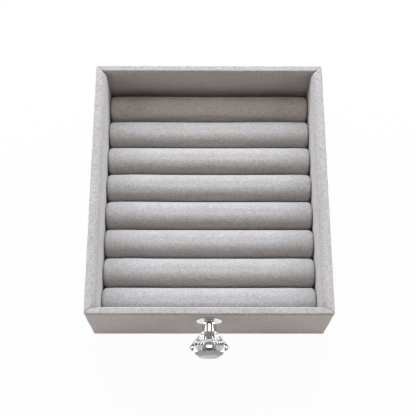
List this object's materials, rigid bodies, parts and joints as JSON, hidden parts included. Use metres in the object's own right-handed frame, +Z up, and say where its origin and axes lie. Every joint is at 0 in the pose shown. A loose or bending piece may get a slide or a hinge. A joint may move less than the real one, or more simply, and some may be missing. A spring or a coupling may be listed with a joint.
{
  "type": "velvet ring drawer",
  "caption": "Velvet-covered drawer tray with lift-out padded rolls that hold finger rings in their grooves, and a faceted crystal knob on a chrome stem at the front.",
  "frame": {"origin": "centre of the underside, on the felt that the tray stands on", "axes": "+Z up; the knob points to -Y, so +Y runs from the front of the drawer to its back; +X to the right seen from the knob"},
  "size_m": [0.15, 0.1918, 0.0533],
  "materials": {
    "velvet_grey": "short-pile velvet",
    "felt_grey": "pressed felt",
    "greyboard": "matte",
    "foam_white": "open-cell foam",
    "chrome": "polished",
    "crystal": "polished facets",
    "zinc_steel": "satin"
  },
  "bodies": {
    "tray": {"base_felt": "felt_grey", "base_board": "greyboard", "floor_lining": "velvet_grey", "left_board": "greyboard", "left_pad": "foam_white", "left_cover": "velvet_grey", "front_board": "greyboard", "front_pad": "foam_white", "front_cover": "velvet_grey", "right_board": "greyboard", "right_pad": "foam_white", "right_cover": "velvet_grey", "back_board": "greyboard", "back_pad": "foam_white", "back_cover": "velvet_grey"},
    "insert": {"insert_riser": "foam_white", "insert_card": "greyboard", "roll_core_1": "foam_white", "roll_cover_1": "velvet_grey", "roll_core_2": "foam_white", "roll_cover_2": "velvet_grey", "roll_core_3": "foam_white", "roll_cover_3": "velvet_grey", "roll_core_4": "foam_white", "roll_cover_4": "velvet_grey", "roll_core_5": "foam_white", "roll_cover_5": "velvet_grey", "roll_core_6": "foam_white", "roll_cover_6": "velvet_grey", "roll_core_7": "foam_white", "roll_cover_7": "velvet_grey", "roll_core_8": "foam_white", "roll_cover_8": "velvet_grey"},
    "knob": {"knob_stem": "chrome", "knob_crystal": "crystal", "knob_screw": "zinc_steel", "knob_washer": "zinc_steel"}
  },
  "joints": [
    {"name": "insert_lift", "type": "slide", "parent": "tray", "child": "insert", "axis": [0, 0, 1], "range_m": [0, 0.054]},
    {"name": "knob_turn", "type": "hinge", "parent": "tray", "child": "knob", "pos_m": [0, -0.08455, 0.0385], "axis": [0, 1, 0], "continuous": true}
  ]
}
